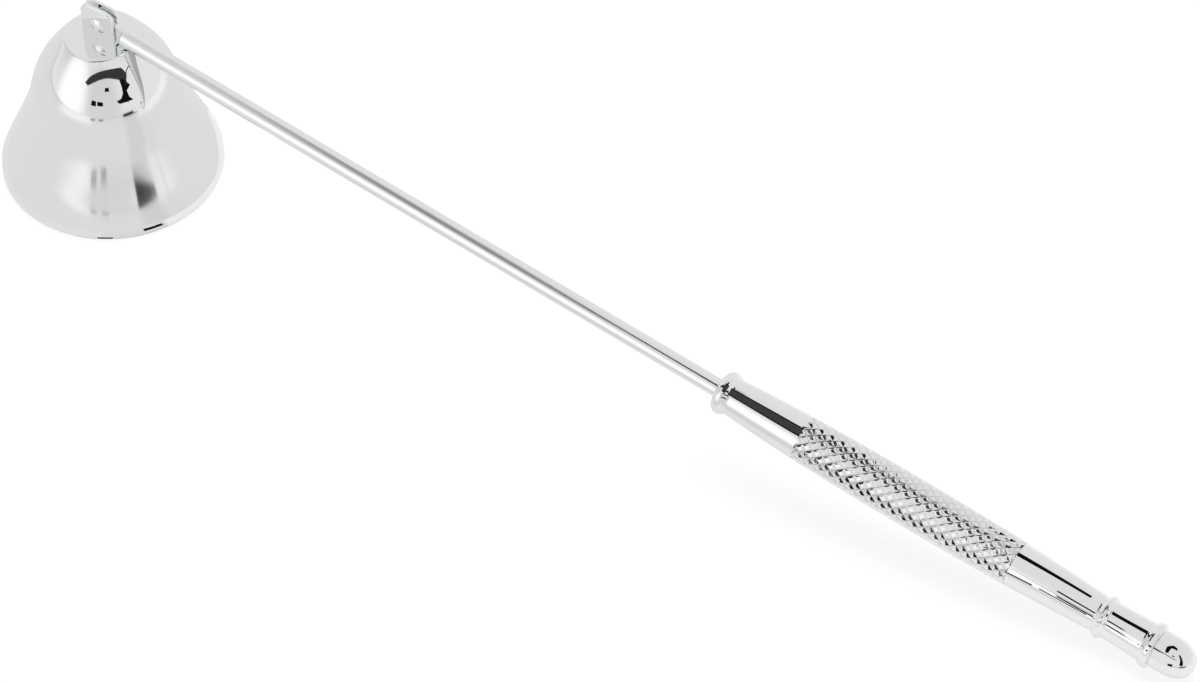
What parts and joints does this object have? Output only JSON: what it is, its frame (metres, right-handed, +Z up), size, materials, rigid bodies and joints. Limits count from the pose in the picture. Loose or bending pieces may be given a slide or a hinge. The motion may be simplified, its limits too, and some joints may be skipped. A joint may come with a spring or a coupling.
{
  "type": "candle snuffer",
  "caption": "Candle snuffer: a polished metal bell that tips on a riveted hinge at the end of a long rod, with a turned and knurled handle.",
  "frame": {"origin": "on the table under the middle of the whole length, with the bell on its mouth and the end ring on the table", "axes": "+Z up, +X from the bell to the handle's end, +Y to the left of that"},
  "size_m": [0.2716, 0.045, 0.0433],
  "materials": {
    "polished_steel": "mirror polished",
    "knurled_steel": "polished with a cut diamond pattern",
    "plain_steel": "plain turned steel"
  },
  "bodies": {
    "handle": {"rod": "polished_steel", "stop_pin": "plain_steel", "front_ring": "polished_steel", "front_sleeve": "polished_steel", "knurled_grip": "knurled_steel", "rear_sleeve": "polished_steel", "rear_ring": "polished_steel", "neck": "polished_steel", "end_ring": "polished_steel", "lock_washer": "plain_steel", "finial": "polished_steel"},
    "bell": {"bell_shell": "polished_steel", "hinge_lug": "polished_steel", "lug_washer": "plain_steel", "lug_nut": "plain_steel", "hinge_rivet": "polished_steel", "rivet_burr": "plain_steel"}
  },
  "joints": [
    {"name": "bell_tip", "type": "hinge", "parent": "handle", "child": "bell", "pos_m": [-0.1133, 0, 0.03872], "axis": [0, 1, 0], "range_deg": [-2, 198]}
  ]
}
